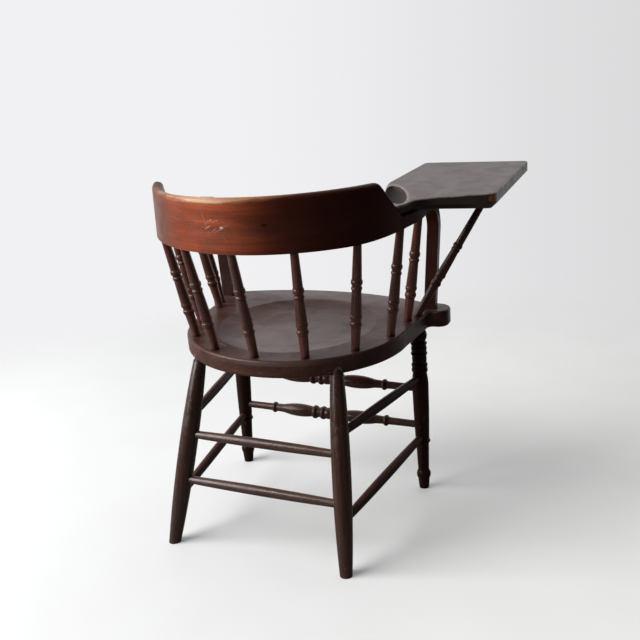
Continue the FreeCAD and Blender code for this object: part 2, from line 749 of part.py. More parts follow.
def brace_sockets():
    foot, tip = brace_line()
    length = (tip - foot).Length
    low = peg(foot, tip, spindle_foot_tenon_radius + socket_clearance,
              -spindle_foot_tenon - socket_end_gap, overrun)
    high = peg(foot, tip, brace_tenon_radius + socket_clearance,
               length - overrun, length + brace_tenon + socket_end_gap)
    return low, high


def post_mortises():
    """Holes in the seat for the feet of the posts, a little larger than the posts."""
    bend_end = post_head()
    foot = seat_top(-post_face_reach)
    foot_middle = lobe_half_width - post_foot_inset
    lean = (arm_front_outer - rail_thickness / 2 - foot_middle) / (bend_end - foot)
    half = rail_thickness / 2 + socket_clearance
    bottom = -(post_tenon + socket_end_gap)
    outline = [(foot_middle + overrun * lean + half, foot + overrun),
               (foot_middle + bottom * lean + half, foot + bottom),
               (foot_middle + bottom * lean - half, foot + bottom),
               (foot_middle + overrun * lean - half, foot + overrun)]
    corners = [Vector(x, -post_face_reach + socket_clearance, z) for x, z in outline]
    face = Part.Face(Part.makePolygon(corners + corners[:1]))
    mortise = face.extrude(Vector(0, -(post_thickness + 2 * socket_clearance), 0))
    return [mortise, mirrored(mortise)]


# Legs: the rear pair is plain and swelling, the front pair has beads, a collar and a turned foot
def rear_leg_line():
    top_y = seat_back_reach - rear_leg_back_inset
    top = Vector(seat_half_width - rear_leg_side_inset, top_y, seat_bottom(top_y))
    return Vector(top.x + rear_leg_splay[0], top.y + rear_leg_splay[1], 0), top


def front_leg_line():
    top_y = -(seat_waist_reach + front_leg_waist_gap)
    top = Vector(seat_waist_half - front_leg_side_inset, top_y, seat_bottom(top_y))
    return Vector(top.x + front_leg_splay[0], top.y + front_leg_splay[1], 0), top


def on_line(line, height):
    foot, top = line
    return foot + (top - foot) * (height / top.z)


def make_leg(line, shares, radius):
    foot, top = line
    length = (top - foot).Length
    profile = lengthened(sized(shares, length, radius), foot_sink, radius)
    body = stand(turned(profile), foot, top).common(slab(lambda y: 0, seat_bottom))
    tenon = peg(foot, top, leg_tenon_radius, length - radius, length + leg_tenon)
    return body.fuse(tenon).removeSplitter()


def leg_socket(line):
    foot, top = line
    length = (top - foot).Length
    return peg(foot, top, leg_tenon_radius + socket_clearance, length - overrun,
               length + leg_tenon + socket_end_gap)


# Stretchers: plain ones that swell a little, and two turned ones between the front legs
def make_stretcher(start, end, ornate):
    """A stretcher between the middle lines of two legs, stopping short of both."""
    direction = (end - start).normalize()
    foot = start + direction * stretcher_setback
    tip = end - direction * stretcher_setback
    length = (tip - foot).Length
    far = length - stretcher_tenon
    if ornate:
        middle = sized(front_stretcher_shares, far - stretcher_tenon, front_stretcher_radius,
                       stretcher_tenon)
        middle.append((far, stretcher_radius))
    else:
        middle = [(length / 2, stretcher_belly, far, stretcher_radius)]
    near_end = [(0, stretcher_radius), (stretcher_tenon, stretcher_radius)]
    return stand(turned(near_end + middle + [(length, stretcher_radius)]), foot, tip)


def stretcher_sockets(start, end):
    length = (end - start).Length
    radius = stretcher_radius + socket_clearance
    inset = stretcher_setback - socket_end_gap
    return [peg(start, end, radius, inset, inset + overrun),
            peg(start, end, radius, length - inset - overrun, length - inset)]


def stretcher_runs():
    """Where each stretcher starts and ends, and whether it is one of the turned front pair."""
    rear = rear_leg_line()
    front = front_leg_line()
    runs = {}
    for name, line, height, ornate in (("rear_upper", rear, rear_upper_height, False),
                                       ("rear_lower", rear, rear_lower_height, False),
                                       ("front_upper", front, front_upper_height, True),
                                       ("front_lower", front, front_lower_height, True)):
        point = on_line(line, height)
        runs["stretcher_" + name] = (across(point), point, ornate)
    for level, heights in (("upper", side_upper_heights), ("lower", side_lower_heights)):
        start = on_line(rear, heights[0])
        end = on_line(front, heights[1])
        runs["stretcher_left_" + level] = (start, end, False)
        runs["stretcher_right_" + level] = (across(start), across(end), False)
    return runs


def build():
    pieces = {}
    gap = spindle_space()
    seat_cuts = post_mortises()
    rail_cuts = [screw_hole(y) for y in screw_places]
    for name, line in spindle_lines().items():
        thickness = slim_spindle_share if name == "spindle_left_front" else 1
        pieces[name] = make_spindle(line, thickness, gap)
        low, high = spindle_sockets(line, thickness)
        seat_cuts.append(low)
        rail_cuts.append(high)

    brace_low, brace_high = brace_sockets()
    seat_cuts.append(brace_low)
    pieces["tablet_brace"] = make_brace()
    pieces["writing_tablet"] = tablet_blank().cut([brace_high] + [screw_hole(y) for y in screw_places])
    pieces["tablet_screws"] = Part.makeCompound([make_screw(y) for y in screw_places])
    pieces["back_rail"] = round_rail(back_rail_blank()).cut(rail_cuts)

    leg_cuts = []
    for name, (start, end, ornate) in stretcher_runs().items():
        pieces[name] = make_stretcher(start, end, ornate)
        leg_cuts += stretcher_sockets(start, end)
    for end, line, shares, radius in (("rear", rear_leg_line(), rear_leg_shares, rear_leg_radius),
                                      ("front", front_leg_line(), front_leg_shares, front_leg_radius)):
        leg = make_leg(line, shares, radius)
        pieces["leg_%s_left" % end] = leg.cut(leg_cuts)
        pieces["leg_%s_right" % end] = mirrored(leg).cut(leg_cuts)
        seat_cuts += [leg_socket(line), mirrored(leg_socket(line))]

    pieces["seat"] = tip_seat(seat_blank().cut(seat_dish())).cut(seat_cuts)
    return pieces


# The origin goes to the middle of the chair's footprint, on the floor
chair = build()
bounds = FreeCAD.BoundBox()
for shape in chair.values():
    bounds.add(shape.optimalBoundingBox())
to_origin = Vector(-bounds.Center.x, -bounds.Center.y, -bounds.ZMin)
for name, shape in chair.items():
    shape.translate(to_origin)
    shape.exportStep("parts/%s.step" % name)
print("moved by", to_origin)
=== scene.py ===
import math

import bpy
from mathutils import Matrix, Vector


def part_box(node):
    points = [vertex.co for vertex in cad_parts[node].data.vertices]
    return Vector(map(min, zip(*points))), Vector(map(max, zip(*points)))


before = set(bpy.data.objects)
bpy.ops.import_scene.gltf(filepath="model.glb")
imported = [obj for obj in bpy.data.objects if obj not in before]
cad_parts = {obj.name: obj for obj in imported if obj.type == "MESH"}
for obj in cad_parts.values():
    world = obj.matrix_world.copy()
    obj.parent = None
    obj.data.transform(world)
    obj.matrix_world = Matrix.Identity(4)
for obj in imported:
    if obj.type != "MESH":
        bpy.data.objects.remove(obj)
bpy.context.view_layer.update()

# The view: the chair is seen from behind its right shoulder, a little above the rail, with the
# camera hand-held and not quite level.
camera_place = Vector((-0.7213, 1.6757, 0.9489))
camera_aim = Vector((0.0380, 0.0194, 0.4100))
camera_roll = math.radians(-3.14)
camera_lens = 48.58
camera_sensor = 36.0

camera = bpy.data.objects.new("camera", bpy.data.cameras.new("camera"))
camera.data.lens = camera_lens
camera.data.sensor_width = camera_sensor
view_turn = (camera_aim - camera_place).to_track_quat("-Z", "Y").to_matrix().to_4x4()
view_roll = Matrix.Rotation(camera_roll, 4, "Z")
camera.matrix_world = Matrix.Translation(camera_place) @ view_turn @ view_roll
bpy.context.scene.collection.objects.link(camera)
bpy.context.scene.camera = camera
bpy.context.scene.view_settings.view_transform = "Standard"


# The seat: one thick plank of hard wood, saddled, stained dark brown and varnished. The varnish is
# worn to a grey satin in the saddle and along the front, a grey that is partly painted sheen where
# those slopes meet the light at a low angle, and its edges are rubbed, partly with a painted highlight.
seat_stain = (0.040, 0.014, 0.010, 1)
seat_stain_light = (0.088, 0.034, 0.024, 1)
seat_grey_wear_and_sheen = (0.185, 0.145, 0.138, 1)
seat_rubbed_and_highlight = (0.24, 0.17, 0.145, 1)
pore_stain = (0.010, 0.005, 0.004, 1)
old_dirt = (0.009, 0.005, 0.004, 1)
seat_ring_spacing = 0.021
seat_edge_wear = 0.005
seat_level = (0.42611, -0.05468)      # height of its flat top at y = 0, and its rise per unit of y
saddle_wear_and_sheen_place = (0.035, 0.172, 0.412)
saddle_wear_and_sheen_reach = (0.185, 0.06)         # round that place: where the grey begins, and where it is full
front_reach = (-0.03, -0.12)          # y where the grey of the front begins, and where it is full

# Depths below the level of the flat top, negative above it, over which the flat top and the saddle
# begin and end.
flat_top_above = (-0.002, -0.0005)
flat_top_below = (0.0030, 0.0008)
saddle_side = (0.0005, 0.0045)
saddle_floor = (0.0115, 0.0095)


def add(tree, kind, inputs=None, **settings):
    """Put a node in a tree, set its options, and link or set its inputs."""
    node = tree.nodes.new(kind)
    for name, value in settings.items():
        setattr(node, name, value)
    for name, value in (inputs or {}).items():
        if isinstance(value, bpy.types.NodeSocket):
            tree.links.new(value, node.inputs[name])
        else:
            node.inputs[name].default_value = value
    return node


def calc(tree, operation, *values):
    return add(tree, "ShaderNodeMath", dict(enumerate(values)), operation=operation).outputs[0]


def shift(tree, operation, place, other):
    """A place moved or scaled by another."""
    return add(tree, "ShaderNodeVectorMath", {0: place, 1: other}, operation=operation).outputs[0]


def measure(tree, operation, place, other=(0, 0, 0)):
    """A length, distance or dot product, as one value."""
    return add(tree, "ShaderNodeVectorMath", {0: place, 1: other},
               operation=operation).outputs["Value"]


def turn_level(tree, place, angle, centre=(0, 0, 0)):
    """A place turned round the upright line through a centre."""
    return add(tree, "ShaderNodeVectorRotate", {"Vector": place, "Center": centre, "Angle": angle},
               rotation_type="Z_AXIS").outputs[0]


def split(tree, place):
    return add(tree, "ShaderNodeSeparateXYZ", {0: place}).outputs


def object_place(tree):
    return add(tree, "ShaderNodeTexCoord").outputs["Object"]


def ease(tree, value, low, high, to_low=0.0, to_high=1.0):
    """Carry a value smoothly from one range to another."""
    return add(tree, "ShaderNodeMapRange",
               {"Value": value, "From Min": low, "From Max": high, "To Min": to_low, "To Max": to_high},
               interpolation_type="SMOOTHSTEP").outputs["Result"]


def blend(tree, share, first, second):
    return add(tree, "ShaderNodeMix", {0: share, 6: first, 7: second}, data_type="RGBA").outputs[2]


def lay_over(tree, colour, other, mask, strength):
    """Lay another colour over this one, where a mask says and as strongly as given."""
    return blend(tree, calc(tree, "MULTIPLY", mask, strength), colour, other)


def stretched(tree, place, along):
    """A place scaled along the grain, which runs on X."""
    return shift(tree, "MULTIPLY", place, (along, 1.0, 1.0))


def noise(tree, place, scale, detail=3.0, distortion=0.0):
    return add(tree, "ShaderNodeTexNoise", {"Vector": place, "Scale": scale, "Detail": detail,
                                            "Distortion": distortion}).outputs["Fac"]


def new_effect(name, inputs, outputs):
    """A shader node group; gives its tree, its input node and its output node."""
    tree = bpy.data.node_groups.new(name, "ShaderNodeTree")
    for socket_name, start in inputs.items():
        kind = "NodeSocketVector" if start is None else "NodeSocketFloat"
        socket = tree.interface.new_socket(socket_name, in_out="INPUT", socket_type=kind)
        if start is not None:
            socket.default_value = start
    for socket_name, kind in outputs.items():
        tree.interface.new_socket(socket_name, in_out="OUTPUT", socket_type="NodeSocket" + kind)
    return tree, tree.nodes.new("NodeGroupInput"), tree.nodes.new("NodeGroupOutput")


def wood_figure():
    """Growth rings, long streaks of stain, and short open pores along the grain."""
    wander = 0.05                 # how far the grain leaves a straight line
    late_wood = 2.2               # how narrow the dark part of a ring is
    streak_share = 0.7            # the broad streaks' part, the rest being fine ones
    tree, given, made = new_effect(
        "wood figure", {"Place": None, "Ring Spacing": 0.02, "Heart Depth": 0.09},
        {"Streaks": "Float", "Rings": "Float", "Pores": "Float"})
    place = given.outputs["Place"]
    bent = add(tree, "ShaderNodeTexNoise", {"Vector": stretched(tree, place, 0.22), "Scale": 9.0,
                                            "Detail": 2.0}).outputs["Color"]
    bend = shift(tree, "MULTIPLY", bent, (wander, wander, wander))
    parts = split(tree, shift(tree, "ADD", place, bend))
    deep = calc(tree, "ADD", parts[2], given.outputs["Heart Depth"])
    reach = calc(tree, "SQRT", calc(tree, "ADD", calc(tree, "POWER", parts[1], 2.0),
                                    calc(tree, "POWER", deep, 2.0)))
    turns = calc(tree, "FRACT", calc(tree, "DIVIDE", reach, given.outputs["Ring Spacing"]))
    broad = noise(tree, stretched(tree, place, 0.05), scale=46.0, detail=5.0, distortion=0.25)
    fine = noise(tree, stretched(tree, place, 0.03), scale=420.0, detail=2.0)
    streaks = calc(tree, "ADD", calc(tree, "MULTIPLY", broad, streak_share),
                   calc(tree, "MULTIPLY", fine, 1 - streak_share))
    dashes = noise(tree, stretched(tree, place, 0.07), scale=1300.0, detail=1.0)
    tree.links.new(ease(tree, streaks, 0.33, 0.67), made.inputs["Streaks"])
    tree.links.new(calc(tree, "POWER", turns, late_wood), made.inputs["Rings"])
    tree.links.new(ease(tree, dashes, 0.60, 0.70), made.inputs["Pores"])
    return tree


def edge_wear():
    """Where hands and cleaning have rubbed an outer edge, broken up along its length. On the seat this
    pale edge is also partly a painted highlight.
    """
    tree, given, made = new_effect("edge wear", {"Place": None, "Width": 0.003, "Patchiness": 60.0},
                                   {"Worn": "Float"})
    rounded = add(tree, "ShaderNodeBevel", {"Radius": given.outputs["Width"]}, samples=6).outputs[0]
    true = add(tree, "ShaderNodeNewGeometry").outputs["Normal"]
    sharp = ease(tree, measure(tree, "DOT_PRODUCT", rounded, true), 0.99, 0.80)
    open_air = add(tree, "ShaderNodeAmbientOcclusion", {"Distance": 0.008}, samples=6).outputs["AO"]
    outer = ease(tree, open_air, 0.62, 0.92)
    broken = noise(tree, given.outputs["Place"], scale=given.outputs["Patchiness"], detail=4.0)
    worn = calc(tree, "MULTIPLY", calc(tree, "MULTIPLY", sharp, outer), ease(tree, broken, 0.40, 0.62))
    tree.links.new(worn, made.inputs["Worn"])
    return tree


def settled_dirt():
    """Old polish and dust that stay dark in grooves and at the joints between pieces."""
    unevenness = 0.22
    tree, given, made = new_effect("settled dirt", {"Place": None, "Reach": 0.012}, {"Dirt": "Float"})
    shut_in = add(tree, "ShaderNodeAmbientOcclusion", {"Distance": given.outputs["Reach"]},
                  samples=8).outputs["AO"]
    uneven = calc(tree, "MULTIPLY", noise(tree, given.outputs["Place"], scale=90.0), unevenness)
    tree.links.new(ease(tree, calc(tree, "ADD", shut_in, uneven), 0.92, 0.52), made.inputs["Dirt"])
    return tree


def scuffs():
    """Fine scratches, mostly along the grain, and dull spots where the varnish has gone."""
    slant = math.radians(24)
    tree, given, made = new_effect("scuffs", {"Place": None}, {"Scratches": "Float", "Dull": "Float"})
    place = given.outputs["Place"]
    turned = turn_level(tree, place, slant)
    with_grain = noise(tree, stretched(tree, place, 0.12), scale=210.0, detail=1.0)
    across_grain = noise(tree, stretched(tree, turned, 0.09), scale=170.0, detail=1.0)
    scratches = calc(tree, "MAXIMUM", ease(tree, with_grain, 0.70, 0.76),
                     ease(tree, across_grain, 0.72, 0.77))
    dull = ease(tree, noise(tree, place, scale=22.0, detail=5.0, distortion=0.4), 0.42, 0.66)
    tree.links.new(scratches, made.inputs["Scratches"])
    tree.links.new(dull, made.inputs["Dull"])
    return tree


figure_effect = wood_figure()
wear_effect = edge_wear()
dirt_effect = settled_dirt()
scuff_effect = scuffs()


def new_finish(name):
    """A new material; gives the material, its tree and its surface."""
    finish = bpy.data.materials.new(name)
    finish.use_nodes = True
    return finish, finish.node_tree, finish.node_tree.nodes["Principled BSDF"]


def grain_place(tree, centre, direction):
    """Object places with X turned to run along the grain."""
    moved = shift(tree, "SUBTRACT", object_place(tree), centre)
    level = direction.rotation_difference(Vector((1, 0, 0))).to_euler()
    return add(tree, "ShaderNodeMapping", {"Vector": moved, "Rotation": level}).outputs[0]


def stained(tree, place, dark, light, rubbed, ring_spacing, wear_width, wear_strength):
    """The colour of stained wood with its figure, dirt, rubbed edges and scratches, and its masks."""
    figure = add(tree, "ShaderNodeGroup", {"Place": place, "Ring Spacing": ring_spacing},
                 node_tree=figure_effect).outputs
    scuff = add(tree, "ShaderNodeGroup", {"Place": place}, node_tree=scuff_effect).outputs
    worn = add(tree, "ShaderNodeGroup", {"Place": place, "Width": wear_width},
               node_tree=wear_effect).outputs["Worn"]
    dirt = add(tree, "ShaderNodeGroup", {"Place": place}, node_tree=dirt_effect).outputs["Dirt"]
    colour = blend(tree, figure["Streaks"], dark, light)
    colour = lay_over(tree, colour, dark, figure["Rings"], strength=0.45)
    colour = lay_over(tree, colour, pore_stain, figure["Pores"], strength=0.6)
    colour = lay_over(tree, colour, rubbed, scuff["Scratches"], strength=0.35)
    colour = lay_over(tree, colour, rubbed, worn, strength=wear_strength)
    colour = lay_over(tree, colour, old_dirt, dirt, strength=0.75)
    return colour, figure, scuff, dirt


def varnish(tree, surface, figure, scuff, dirt, smooth, dull, relief, gloss):
    """Satin varnish: scuffs and dirt dull its gloss, and the grain shows through as relief."""
    rough_pores = 0.10
    rough_dirt = 0.22
    relief_depth = 0.0006
    rough = ease(tree, scuff["Dull"], 0.0, 1.0, smooth, dull)
    rough = calc(tree, "ADD", rough, calc(tree, "MULTIPLY", figure["Pores"], rough_pores))
    rough = calc(tree, "ADD", rough, calc(tree, "MULTIPLY", dirt, rough_dirt))
    tree.links.new(rough, surface.inputs["Roughness"])
    lows = calc(tree, "ADD", calc(tree, "MULTIPLY", figure["Pores"], -0.5),
                calc(tree, "MULTIPLY", scuff["Scratches"], -0.4))
    height = calc(tree, "ADD", lows, calc(tree, "MULTIPLY", figure["Streaks"], 0.5))
    bump = add(tree, "ShaderNodeBump", {"Height": height, "Strength": relief,
                                        "Distance": relief_depth})
    tree.links.new(bump.outputs[0], surface.inputs["Normal"])
    surface.inputs["Specular IOR Level"].default_value = gloss


def finish_node(name, finish):
    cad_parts[name].data.materials.clear()
    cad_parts[name].data.materials.append(finish)


seat_low, seat_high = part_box("seat")
seat_middle = (seat_low + seat_high) / 2
seat_wood, tree, surface = new_finish("seat wood")
place = grain_place(tree, seat_middle, Vector((1, 0, 0)))
# The pale rubbed edges are partly wear and partly a painted highlight along the seat's near top edge.
colour, figure, scuff, dirt = stained(tree, place, seat_stain, seat_stain_light, seat_rubbed_and_highlight,
                                      seat_ring_spacing, seat_edge_wear, wear_strength=0.75)
where = object_place(tree)
here = split(tree, where)
flat_top = calc(tree, "ADD", seat_level[0], calc(tree, "MULTIPLY", here["Y"], seat_level[1]))
sunk = calc(tree, "SUBTRACT", flat_top, here["Z"])
on_flat_top = calc(tree, "MULTIPLY", ease(tree, sunk, *flat_top_below),
                   ease(tree, sunk, *flat_top_above))
in_saddle = calc(tree, "MULTIPLY", ease(tree, sunk, *saddle_side), ease(tree, sunk, *saddle_floor))
# Painted sheen: the grey in the saddle and along the front is partly worn varnish and partly a painted
# sheen where these slopes meet the light at a low angle.
saddle_wear_and_sheen = calc(tree, "MULTIPLY",
              ease(tree, measure(tree, "DISTANCE", where, saddle_wear_and_sheen_place), *saddle_wear_and_sheen_reach), in_saddle)
front_wear_and_sheen = calc(tree, "MULTIPLY", ease(tree, here["Y"], *front_reach), on_flat_top)
grey_wear_and_sheen = calc(tree, "MAXIMUM", calc(tree, "MULTIPLY", front_wear_and_sheen, 0.85),
              calc(tree, "MULTIPLY", saddle_wear_and_sheen, 0.8))
cloudy = ease(tree, noise(tree, place, scale=7.0, distortion=0.3), 0.30, 0.70, 0.75, 1.0)
colour = lay_over(tree, colour, seat_grey_wear_and_sheen, grey_wear_and_sheen, cloudy)
tree.links.new(colour, surface.inputs["Base Color"])
varnish(tree, surface, figure, scuff, dirt, smooth=0.34, dull=0.44, relief=0.25, gloss=0.25)
finish_node("seat", seat_wood)


# The legs, stretchers, spindles and the tablet's brace: turned on a lathe from straight-grained
# wood, stained dark and varnished, with dirt in the grooves between rings. Light and shade are painted
# into the stain group by group: the spindles and rear stretchers lighter, the front legs darkest and
# the side stretchers darker.
turned_stain = (0.020, 0.008, 0.006, 1)
turned_stain_light = (0.072, 0.027, 0.018, 1)
turned_rubbed = (0.17, 0.085, 0.055, 1)
turned_ring_spacing = 0.009
turned_edge_wear = 0.0022
stain_and_shading_coats = (               # strength of the stain and of its painted light and shade, its redness, and the gloss over it
    ("spindle", 2.4, 1.35, 0.45),
    ("stretcher_rear", 2.2, 0.72, 0.50),
    ("stretcher_front", 1.6, 0.95, 0.25),
    ("stretcher", 1.2, 0.90, 0.08),
    ("tablet_brace", 1.3, 1.10, 0.25),
    ("leg_rear", 1.15, 0.80, 0.42),
    ("leg_front", 0.55, 1.00, 0.08),
)
redness_change = 0.15         # how much redness differs between turnings of one kind
redness_step = 2.4


def long_axis(piece):
    """The middle of a piece and the direction in which it is longest, from its mesh."""
    axis = Vector((0.3, 0.4, 0.9))
    rounds = 24
    places = [vertex.co for vertex in piece.data.vertices]
    centre = sum(places, Vector()) / len(places)
    spread = Matrix(((0, 0, 0), (0, 0, 0), (0, 0, 0)))
    for spot in places:
        arm = spot - centre
        for row in range(3):
            for column in range(3):
                spread[row][column] += arm[row] * arm[column]
    for _ in range(rounds):
        axis = (spread @ axis).normalized()
    return centre, axis


def finish_turning(name, strength, redness, gloss):
    """Stain one turned piece, with its grain along its own axis."""
    centre, axis = long_axis(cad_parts[name])
    wood, tree, surface = new_finish("turned wood " + name)
    place = grain_place(tree, centre - axis, axis)
    # The strength paints each group's light and shade into the stain's colour.
    dark = [channel * strength for channel in turned_stain[:3]] + [1]
    light = [turned_stain_light[0] * strength * redness]
    light += [channel * strength for channel in turned_stain_light[1:3]] + [1]
    colour, figure, scuff, dirt = stained(tree, place, dark, light, turned_rubbed,
                                          turned_ring_spacing, turned_edge_wear, wear_strength=0.35)
    tree.links.new(colour, surface.inputs["Base Color"])
    varnish(tree, surface, figure, scuff, dirt, smooth=0.20, dull=0.33, relief=0.3, gloss=gloss)
    finish_node(name, wood)


turned_names = ["leg_%s_%s" % (end, side) for end in ("rear", "front") for side in ("left", "right")]
turned_names += ["stretcher_%s_%s" % (run, level) for run in ("rear", "front", "left", "right")
                 for level in ("upper", "lower")]
turned_names += ["spindle_%s_%d" % (side, number) for side in ("left", "right")
                 for number in range(1, 5)]
turned_names += ["spindle_centre", "spindle_left_front", "tablet_brace"]
for number, name in enumerate(turned_names):
    strength, redness, gloss = next(coat[1:] for coat in stain_and_shading_coats if name.startswith(coat[0]))
    redness *= 1 + redness_change * math.sin(redness_step * number)
    finish_turning(name, strength, redness, gloss)


# The back rail: one length of wood, sawn deep in the middle, steamed and bent round to make the
# crest, the arms and both front posts. Elbows and hands have worn its top edge to bare wood on the
# sitter's left, and its varnish is thin and red below that, a red that is partly painted light where
# the crest faces the window; toward its right end it is darker, partly as painted shade.
rail_stain = (0.200, 0.038, 0.014, 1)
rail_stain_light = (0.430, 0.086, 0.029, 1)
rail_dark = (0.033, 0.0065, 0.0038, 1)
rail_brown = (0.108, 0.034, 0.019, 1)
rail_rubbed = (0.34, 0.15, 0.09, 1)
post_dark = (0.012, 0.003, 0.002, 1)
bare_wood = (0.62, 0.36, 0.22, 1)
bare_wood_edge = (0.36, 0.15, 0.06, 1)
bare_wood_fleck = (0.10, 0.045, 0.025, 1)
scratch_pale = (0.50, 0.30, 0.20, 1)
chalk_white = (0.62, 0.58, 0.58, 1)
knot_dark = (0.010, 0.004, 0.003, 1)
rail_ring_spacing = 0.013
rail_edge_wear = 0.004
rail_fall = math.tan(math.radians(2.25))
arm_bend_depth = 0.035        # middle of the arm's bend below the line of the crest's underside
arm_bend_reach = 0.0832       # where the bend starts, in front of the middle of the ring
crest_bottom = 0.6423         # the crest's underside, carried level to y = 0
rail_low, rail_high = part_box("back_rail")
rail_middle_x = (rail_low.x + rail_high.x) / 2
rail_outer = (rail_high.x - rail_low.x) / 2
ring_middle_y = rail_high.y - rail_outer

# Turns round the ring start at the sitter's left; the middle of the back is at a quarter turn.
red_right_end = (math.radians(127), math.radians(74))
red_left_end = (math.radians(10), math.radians(50))
brown_left = (math.radians(74), math.radians(50))
bare_fade = (math.radians(82), math.radians(97))
dull_right_arm = (math.radians(150), math.radians(170))
bare_top = 0.108              # height on the rail that the shares below are parts of
bare_shares = ((0.0, 1.0), (0.19, 1.0), (0.24, 0.924), (0.34, 0.889), (0.42, 0.860), (0.50, 0.870),
               (0.56, 0.925), (0.60, 0.957), (0.65, 1.0), (1.0, 1.0))
bare_raggedness = 0.012

# Marks on the crest: their middles along the rail and up from the arm's bend, and half their sizes.
scratches_middle = (0.42, arm_bend_depth + 0.052, 0.0)
scratches_half = (0.052, 0.022, 1.0)
scratches_slant = math.radians(-28)
long_scratch_middle = (0.400, 0.094, 0.0)
long_scratch_half = (0.0012, 0.036, 1.0)
long_scratch_lean = math.radians(-20)
chalk_middle = (0.436, arm_bend_depth + 0.049, 0.0)
chalk_half = (0.006, 0.0045, 1.0)
knot_middle = (0.518, arm_bend_depth + 0.054, 0.0)
knot_half = (0.010, 0.005, 1.0)


def rail_run():
    """Places along the bent rail: round the back, forwards on the arms, and down the posts."""
    tree, given, made = new_effect("run of the bent rail", {"Place": None},
                                   {"Run": "Vector", "Turn": "Float", "Height": "Float"})
    parts = split(tree, given.outputs["Place"])
    x = calc(tree, "SUBTRACT", parts[0], rail_middle_x)
    y = calc(tree, "SUBTRACT", parts[1], ring_middle_y)
    back = calc(tree, "MAXIMUM", y, 0.0)
    forward = calc(tree, "MINIMUM", y, 0.0)
    turn = calc(tree, "ARCTAN2", back, x)
    level = calc(tree, "ADD", parts[2], calc(tree, "MULTIPLY", parts[1], rail_fall))
    height = calc(tree, "SUBTRACT", level, crest_bottom)
    above_bend = calc(tree, "ADD", height, arm_bend_depth)
    past_bend = calc(tree, "MINIMUM", calc(tree, "ADD", y, arm_bend_reach), 0.0)
    over = calc(tree, "MAXIMUM", above_bend, 0.0)
    across = calc(tree, "SQRT", calc(tree, "ADD", calc(tree, "POWER", past_bend, 2.0),
                                     calc(tree, "POWER", over, 2.0)))
    bend_turn = calc(tree, "ARCTAN2", calc(tree, "MULTIPLY", past_bend, -1.0), over)
    drop = calc(tree, "MAXIMUM", calc(tree, "MULTIPLY", above_bend, -1.0), 0.0)
    extra = calc(tree, "ADD", calc(tree, "MULTIPLY", bend_turn, arm_bend_depth), drop)
    arm_run = calc(tree, "SUBTRACT", calc(tree, "MAXIMUM", forward, -arm_bend_reach), extra)
    along = calc(tree, "ADD", calc(tree, "MULTIPLY", turn, rail_outer),
                 calc(tree, "MULTIPLY", calc(tree, "SIGN", x), arm_run))
    radius = calc(tree, "SQRT", calc(tree, "ADD", calc(tree, "POWER", x, 2.0),
                                     calc(tree, "POWER", back, 2.0)))
    through = calc(tree, "SUBTRACT", radius, rail_outer)
    run = add(tree, "ShaderNodeCombineXYZ", {0: along, 1: across, 2: through}).outputs[0]
    tree.links.new(run, made.inputs["Run"])
    tree.links.new(turn, made.inputs["Turn"])
    tree.links.new(height, made.inputs["Height"])
    return tree


def spot(tree, run, middle, half, breakup):
    """A soft-edged patch on the rail's outer face, at a distance along it and a height on it."""
    inner_side = (-0.014, -0.008)
    scaled = shift(tree, "DIVIDE", shift(tree, "SUBTRACT", run, middle), half)
    reach = measure(tree, "LENGTH", shift(tree, "MULTIPLY", scaled, (1, 1, 0)))
    outside = ease(tree, split(tree, run)["Z"], *inner_side)
    return calc(tree, "MULTIPLY", ease(tree, calc(tree, "ADD", reach, breakup), 1.15, 0.7), outside)


def broken_up(tree, place, scale, detail, amount):
    """Noise that breaks up the edge of a mark."""
    return calc(tree, "MULTIPLY", noise(tree, place, scale, detail), amount)


rail_wood, tree, surface = new_finish("bent rail wood")
rail = add(tree, "ShaderNodeGroup", {"Place": object_place(tree)}, node_tree=rail_run()).outputs
run = rail["Run"]
colour, figure, scuff, dirt = stained(tree, run, rail_stain, rail_stain_light, rail_rubbed,
                                      rail_ring_spacing, rail_edge_wear, wear_strength=0.6)
# Painted light and shade: redder where the crest faces the window, partly sun-faded varnish and partly
# painted light, and darker toward the ends, at the right end partly painted shade where the rail turns
# away from the window.
sunned_and_lit = calc(tree, "MULTIPLY", ease(tree, rail["Turn"], *red_right_end),
              ease(tree, rail["Turn"], *red_left_end, 0.05, 1.0))
colour = blend(tree, ease(tree, rail["Turn"], *brown_left, 0.0, 0.88), colour, rail_brown)
mottled = noise(tree, stretched(tree, run, 0.45), scale=30.0, detail=4.0, distortion=0.3)
colour = lay_over(tree, colour, rail_brown, ease(tree, mottled, 0.42, 0.68), strength=0.45)
uneven = calc(tree, "ADD", sunned_and_lit, broken_up(tree, stretched(tree, run, 0.3), 18.0, 4.0, amount=0.5))
colour = blend(tree, ease(tree, uneven, 1.25, 0.35, 0.0, 0.93), colour, rail_dark)
colour = blend(tree, ease(tree, rail["Height"], 0.0, -0.08, 0.0, 0.5), colour, post_dark)

bare_line = add(tree, "ShaderNodeFloatCurve", {"Value": calc(tree, "DIVIDE", rail["Turn"], math.pi)})
curve = bare_line.mapping.curves[0]
curve.points[0].location = bare_shares[0]
curve.points[1].location = bare_shares[-1]
for share in bare_shares[1:-1]:
    curve.points.new(*share)
bare_line.mapping.update()
border = calc(tree, "MULTIPLY", bare_line.outputs[0], bare_top)
ragged = noise(tree, stretched(tree, run, 0.35), scale=95.0, detail=4.0)
ragged = calc(tree, "MULTIPLY", calc(tree, "SUBTRACT", ragged, 0.5), bare_raggedness)
above = calc(tree, "ADD", calc(tree, "SUBTRACT", rail["Height"], border), ragged)
bared = ease(tree, above, -0.0008, 0.0018)
fringe = ease(tree, above, -0.0060, 0.0)
streaky = ease(tree, noise(tree, stretched(tree, run, 0.06), scale=190.0, detail=4.0), 0.30, 0.75)
pale = blend(tree, streaky, bare_wood, bare_wood_edge)
pale = blend(tree, ease(tree, rail["Turn"], *bare_fade, 0.0, 0.9), pale, bare_wood_edge)
